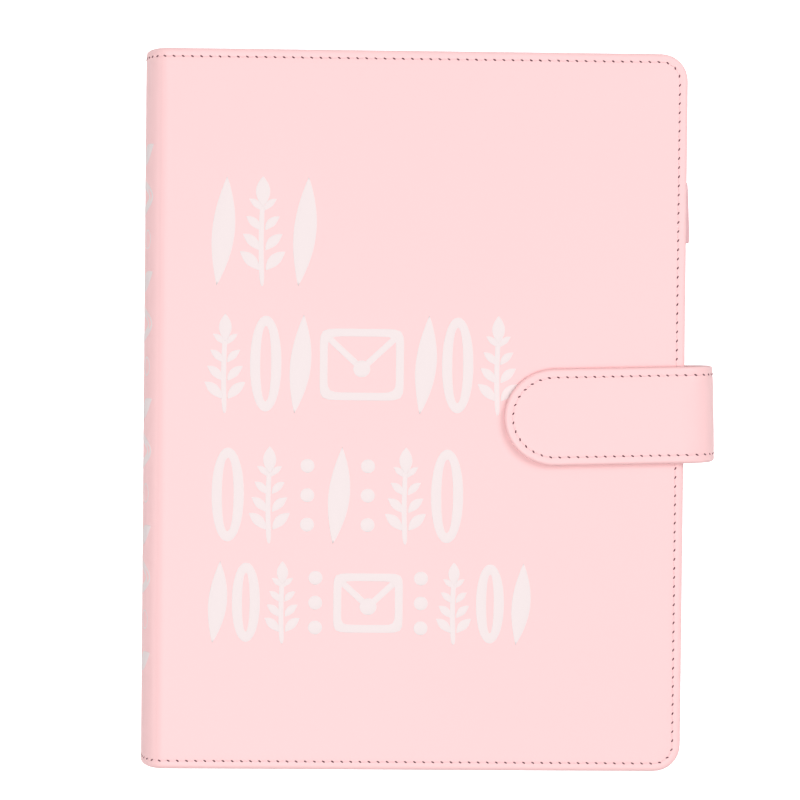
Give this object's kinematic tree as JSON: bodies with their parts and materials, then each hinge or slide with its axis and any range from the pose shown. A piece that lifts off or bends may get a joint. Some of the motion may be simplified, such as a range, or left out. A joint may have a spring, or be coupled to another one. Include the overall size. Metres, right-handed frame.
{
  "type": "cash envelope wallet",
  "caption": "Closed leatherette ring binder for budgeting, with cash envelope leaves on its rings, pockets inside the covers, a pen loop and a magnetic strap.",
  "frame": {"origin": "middle of the back cover's flat outer face, half way between the crease and the fore-edge", "axes": "+Y along the spine to the top of the front, +X from the spine to the fore-edge, +Z out of the front cover"},
  "size_m": [0.187, 0.232, 0.0428],
  "materials": {
    "leatherette": "smooth satin polyurethane leatherette, pale pink",
    "lining": "matt polyurethane lining, pink",
    "board": "greyboard",
    "paper": "uncoated paper",
    "chrome": "polished nickel plate",
    "steel": "plain steel"
  },
  "bodies": {
    "binder": {"back_and_spine_lining": "lining", "back_and_spine_skin": "leatherette", "back_cover_board": "board", "back_slip_pocket": "lining", "envelope_leaf_01": "paper", "envelope_leaf_02": "paper", "envelope_leaf_03": "paper", "envelope_leaf_04": "paper", "envelope_leaf_05": "paper", "envelope_leaf_06": "paper", "envelope_leaf_07": "paper", "envelope_leaf_08": "paper", "envelope_leaf_09": "paper", "envelope_leaf_10": "paper", "envelope_leaf_11": "paper", "envelope_leaf_12": "paper", "envelope_leaf_13": "paper", "envelope_leaf_14": "paper", "envelope_leaf_15": "paper", "envelope_leaf_16": "paper", "envelope_leaf_17": "paper", "envelope_leaf_18": "paper", "envelope_leaf_19": "paper", "envelope_leaf_20": "paper", "envelope_leaf_21": "paper", "envelope_leaf_22": "paper", "envelope_leaf_23": "paper", "envelope_leaf_24": "paper", "pen_loop": "leatherette", "ring_1_back_half": "chrome", "ring_1_front_half": "chrome", "ring_2_back_half": "chrome", "ring_2_front_half": "chrome", "ring_3_back_half": "chrome", "ring_3_front_half": "chrome", "ring_4_back_half": "chrome", "ring_4_front_half": "chrome", "ring_5_back_half": "chrome", "ring_5_front_half": "chrome", "ring_6_back_half": "chrome", "ring_6_front_half": "chrome", "ring_arch": "chrome", "ring_blade_back": "steel", "ring_blade_front": "steel", "ring_lever_bottom": "chrome", "ring_lever_top": "chrome", "ring_rivet_bottom": "chrome", "ring_rivet_top": "chrome", "spine_board": "board", "strap_tail": "leatherette"},
    "front_cover": {"card_pocket_1": "lining", "card_pocket_2": "lining", "front_cover_board": "board", "front_cover_lining": "lining", "front_cover_skin": "leatherette", "front_slip_pocket": "lining", "snap_keeper": "steel"},
    "strap": {"strap_top_layer": "leatherette", "strap_under_layer": "lining", "strap_magnet": "steel"}
  },
  "joints": [
    {"name": "front_cover_hinge", "type": "hinge", "parent": "binder", "child": "front_cover", "pos_m": [-0.0833, 0, 0.04], "axis": [0, -1, 0], "range_deg": [0, 175]},
    {"name": "strap_hinge", "type": "hinge", "parent": "binder", "child": "strap", "pos_m": [0.09306, -0.00003, 0.034], "axis": [-0.0279, 0.9996, 0], "range_deg": [0, 150]}
  ]
}
